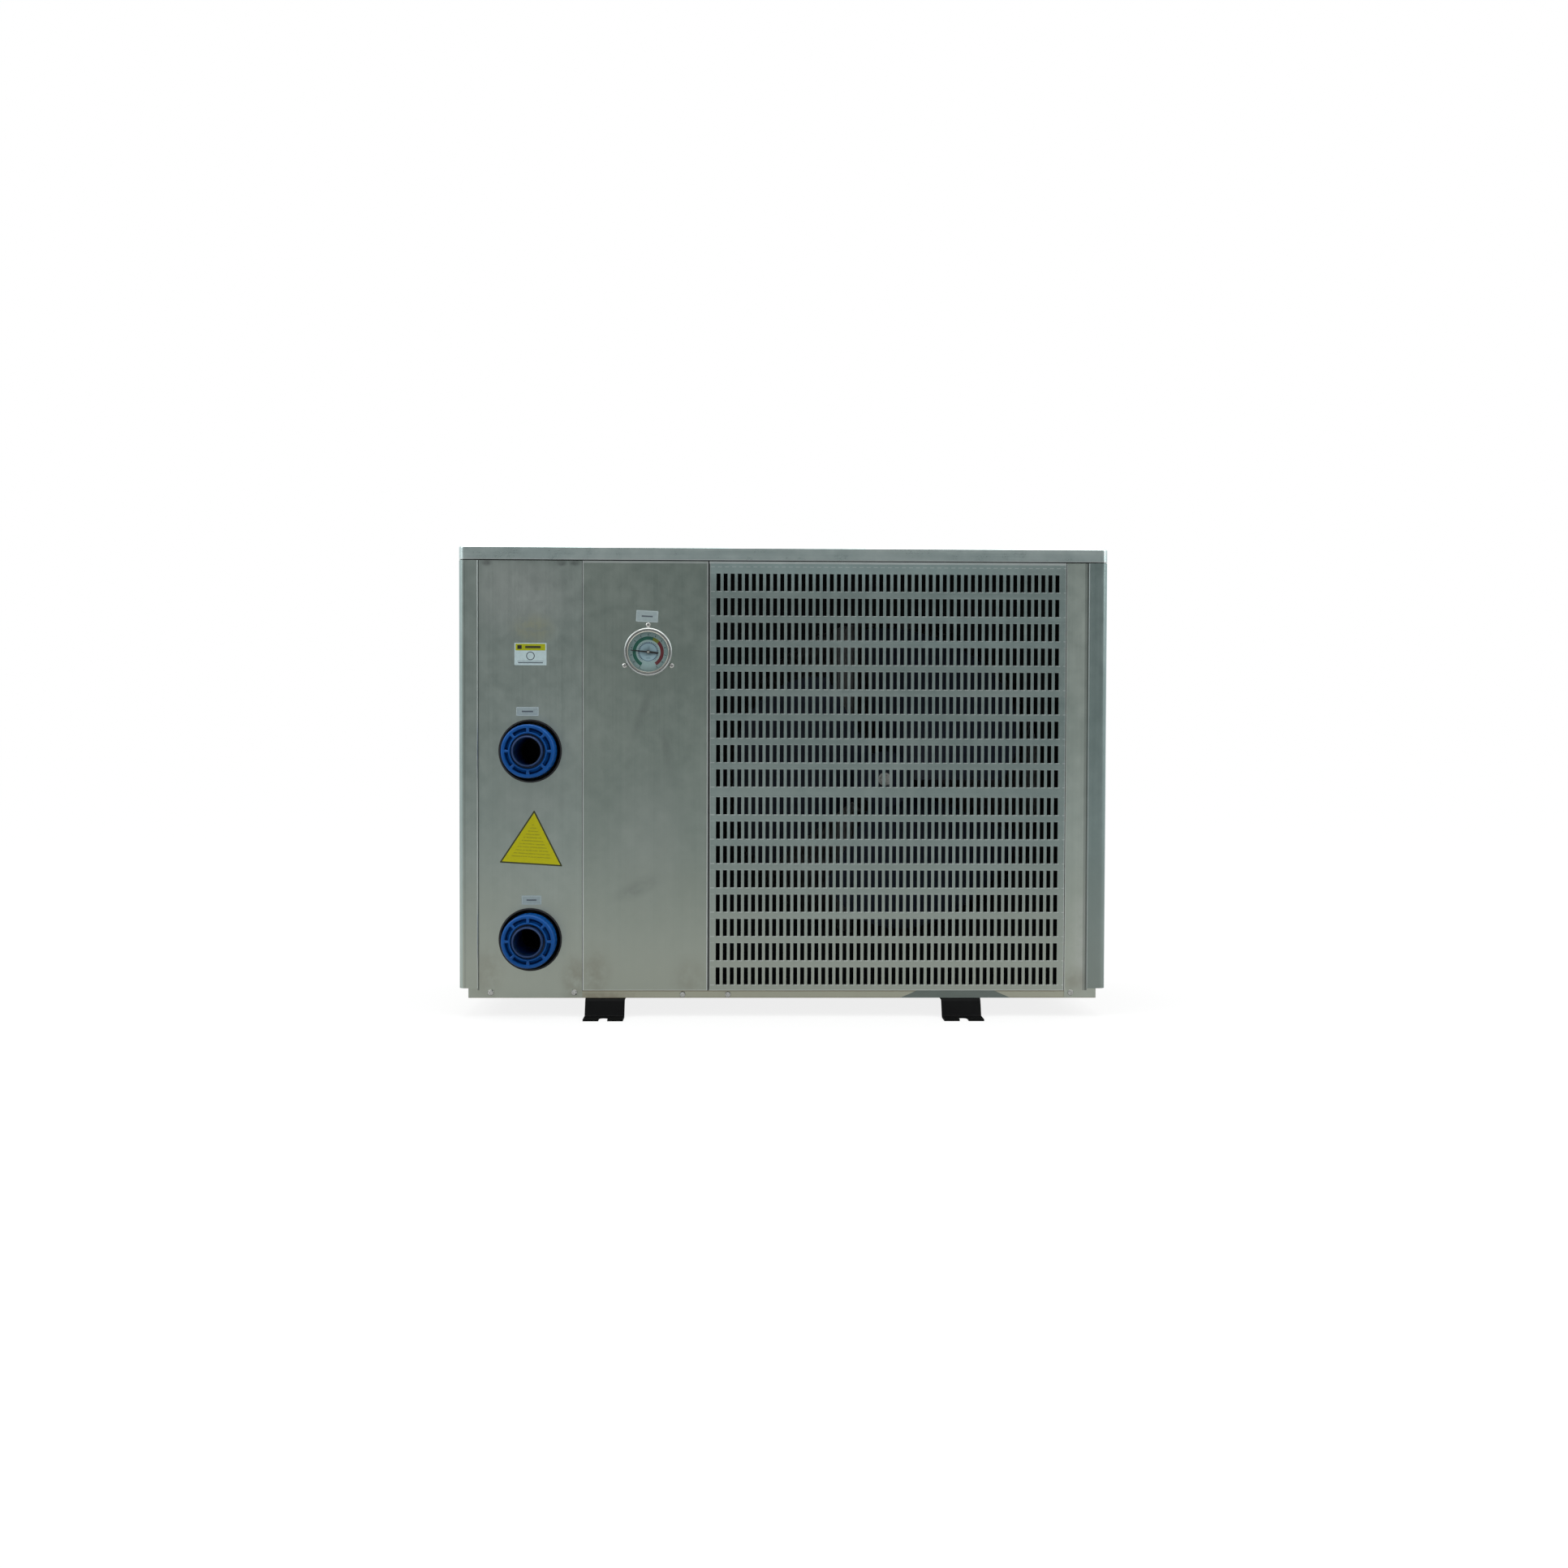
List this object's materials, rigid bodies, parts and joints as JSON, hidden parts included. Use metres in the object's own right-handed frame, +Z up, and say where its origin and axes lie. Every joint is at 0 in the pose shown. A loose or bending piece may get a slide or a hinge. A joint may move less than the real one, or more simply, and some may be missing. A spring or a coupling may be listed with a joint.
{
  "type": "pool heat pump",
  "caption": "Free-standing pool heat pump: stainless cabinet on two strap feet, slotted fan grille, two blue water unions and a dial pressure gauge on the front.",
  "frame": {"origin": "on the floor under the middle of the cabinet", "axes": "+X towards the right-hand end seen from the front, -Y out of the front with the grille, +Z up"},
  "size_m": [1.0556, 0.522, 0.76],
  "materials": {
    "stainless": "brushed stainless sheet, satin",
    "foot_black": "black powder coat",
    "foam_black": "closed-cell foam",
    "guard_black": "black dip coat",
    "galvanised": "zinc-coated sheet",
    "shroud_black": "black paint",
    "fan_blue": "moulded dark blue-grey",
    "bright_steel": "zinc-plated steel",
    "motor_black": "black enamel",
    "fin_aluminium": "fin stock",
    "copper": "drawn copper, slightly dulled",
    "union_blue": "moulded blue plastic",
    "rubber_black": "black rubber",
    "vessel_plastic": "grey moulding",
    "compressor_black": "black enamel",
    "moulded_grey": "moulded grey plastic",
    "brass": "turned brass",
    "gauge_chrome": "polished",
    "gauge_glass": "clear window",
    "dial_face": "printed white dial",
    "needle_black": "black",
    "can_aluminium": "drawn can",
    "gland_black": "black nylon",
    "label_film": "plain film labels"
  },
  "bodies": {
    "cabinet": {"base_pan": "stainless", "left_foot_rail": "foot_black", "right_foot_rail": "foot_black", "front_left_post": "stainless", "front_right_post": "stainless", "rear_left_post": "stainless", "rear_right_post": "stainless", "top_cover": "stainless", "cover_gasket": "foam_black", "connection_panel": "stainless", "service_panel": "stainless", "fan_grille": "stainless", "right_front_strip": "stainless", "left_side_panel": "stainless", "rear_panel": "stainless", "rear_coil_guard": "guard_black", "side_coil_guard": "guard_black", "partition_plate": "galvanised", "fan_shroud": "shroud_black", "fan_motor": "motor_black", "motor_bracket": "galvanised", "coil_fins": "fin_aluminium", "coil_end_plates": "galvanised", "coil_return_bends": "copper", "union_bodies": "union_blue", "union_seals": "rubber_black", "union_grommets": "rubber_black", "heat_exchanger_shell": "vessel_plastic", "heat_exchanger_cap": "vessel_plastic", "compressor": "compressor_black", "compressor_mounts": "rubber_black", "terminal_cover": "moulded_grey", "accumulator": "compressor_black", "reversing_valve": "brass", "discharge_pipe": "copper", "suction_pipe": "copper", "coil_gas_pipe": "copper", "exchanger_gas_pipe": "copper", "expansion_valve": "brass", "liquid_pipes": "copper", "gauge_case": "bright_steel", "gauge_bezel": "gauge_chrome", "gauge_lens": "gauge_glass", "gauge_dial": "dial_face", "electric_box": "galvanised", "contactor": "moulded_grey", "terminal_block": "moulded_grey", "capacitor": "can_aluminium", "cable_glands": "gland_black", "panel_screws": "bright_steel", "label_plates": "label_film", "drain_spout": "gland_black"},
    "fan": {"fan_rotor": "fan_blue", "motor_shaft": "bright_steel", "fan_hub_nut": "bright_steel"},
    "pointer": {"gauge_needle": "needle_black"},
    "outlet_tail": {"outlet_tailpiece": "union_blue"},
    "outlet_ring": {"outlet_nut": "union_blue"},
    "inlet_tail": {"inlet_tailpiece": "union_blue"},
    "inlet_ring": {"inlet_nut": "union_blue"}
  },
  "joints": [
    {"name": "fan_spin", "type": "hinge", "parent": "cabinet", "child": "fan", "pos_m": [0.1678, -0.161, 0.385], "axis": [0, 1, 0], "continuous": true},
    {"name": "gauge_pointer", "type": "hinge", "parent": "cabinet", "child": "pointer", "pos_m": [-0.2198, -0.215, 0.5904], "axis": [0, 1, 0], "range_deg": [-67, 233]},
    {"name": "outlet_tail_slide", "type": "slide", "parent": "cabinet", "child": "outlet_tail", "axis": [0, -1, 0], "range_m": [0, 0.015]},
    {"name": "outlet_nut_turn", "type": "hinge", "parent": "outlet_tail", "child": "outlet_ring", "pos_m": [-0.41, -0.2465, 0.43], "axis": [0, -1, 0], "range_deg": [0, 1800]},
    {"name": "inlet_tail_slide", "type": "slide", "parent": "cabinet", "child": "inlet_tail", "axis": [0, -1, 0], "range_m": [0, 0.015]},
    {"name": "inlet_nut_turn", "type": "hinge", "parent": "inlet_tail", "child": "inlet_ring", "pos_m": [-0.41, -0.2465, 0.125], "axis": [0, -1, 0], "range_deg": [0, 1800]}
  ],
  "couplings": [
    {"joint": "outlet_tail_slide", "follows": "outlet_nut_turn", "m_per_rad": 0.00047746},
    {"joint": "inlet_tail_slide", "follows": "inlet_nut_turn", "m_per_rad": 0.00047746}
  ]
}
